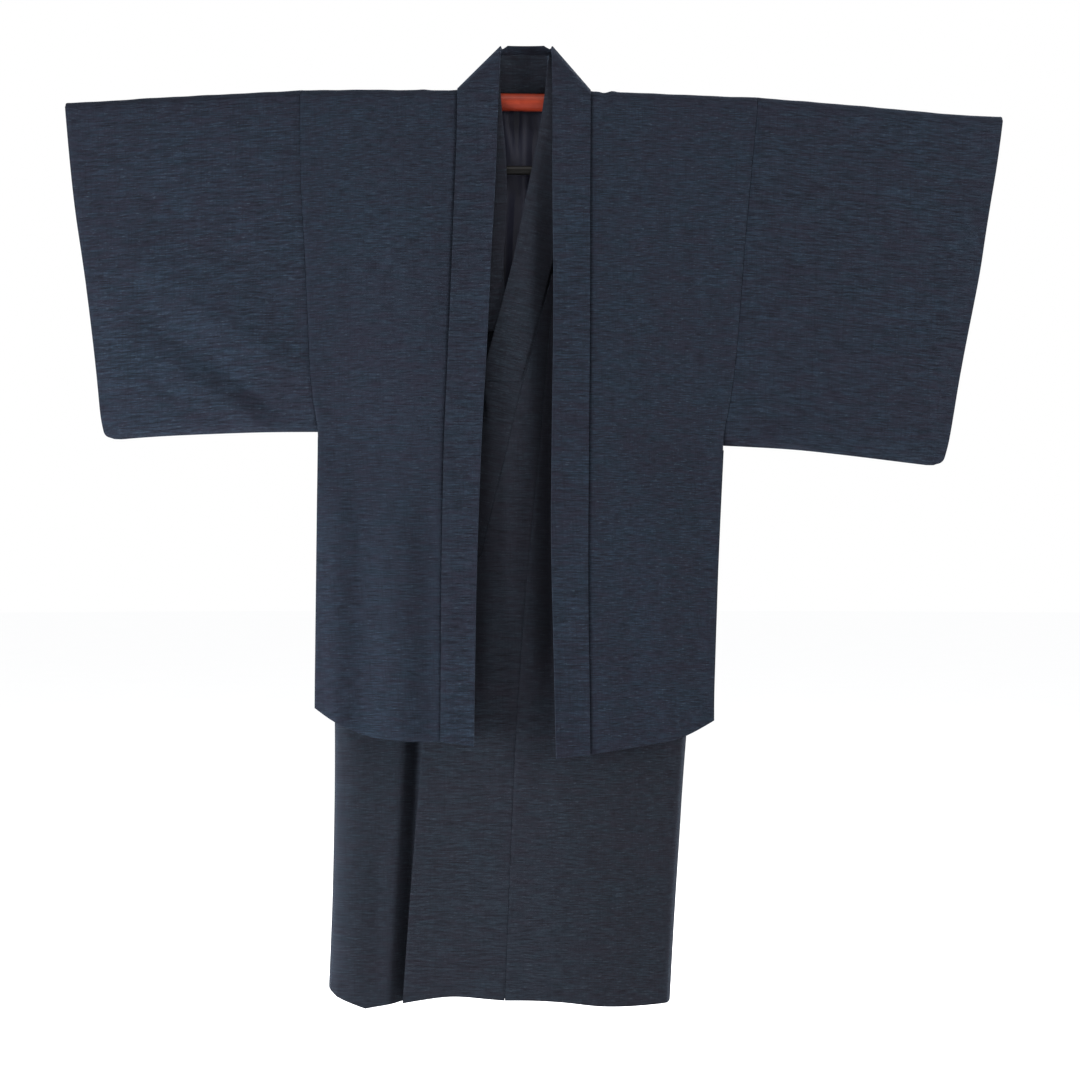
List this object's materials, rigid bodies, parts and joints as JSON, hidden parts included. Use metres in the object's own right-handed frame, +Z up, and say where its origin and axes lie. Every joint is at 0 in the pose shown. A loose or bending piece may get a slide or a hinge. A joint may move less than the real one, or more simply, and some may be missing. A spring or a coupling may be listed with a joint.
{
  "type": "kimono and haori set on a kimono hanger",
  "caption": "Plain dark kimono with overlapping fronts under an open haori coat, hanging together on a kimono hanger's rod.",
  "frame": {"origin": "on the axis of the hanger's rod, in the middle of the neck opening, where the hanger is held", "axes": "+X to the viewer's right and the wearer's left, +Y from the fronts to the backs, +Z up"},
  "size_m": [1.361, 0.112, 1.3956],
  "materials": {
    "kimono_cloth": "matte slubbed weave",
    "haori_cloth": "matte slubbed weave",
    "lining_cloth": "soft sheen",
    "rod_paint": "satin",
    "bar_paint": "satin"
  },
  "bodies": {
    "root": {"hanger_rod": "rod_paint", "hanger_lower_bar": "bar_paint", "hanger_link_right": "bar_paint", "hanger_link_left": "bar_paint", "kimono_body_right": "kimono_cloth", "kimono_body_left": "kimono_cloth", "kimono_overlap_right": "kimono_cloth", "kimono_overlap_left": "kimono_cloth", "kimono_collar": "kimono_cloth", "kimono_over_collar": "kimono_cloth", "kimono_back_lining": "lining_cloth", "kimono_sleeve_right": "kimono_cloth", "kimono_sleeve_left": "kimono_cloth", "haori_body_right": "haori_cloth", "haori_body_left": "haori_cloth", "haori_gusset_right": "haori_cloth", "haori_gusset_left": "haori_cloth", "haori_collar": "haori_cloth", "haori_sleeve_right": "haori_cloth", "haori_sleeve_left": "haori_cloth"}
  },
  "joints": []
}
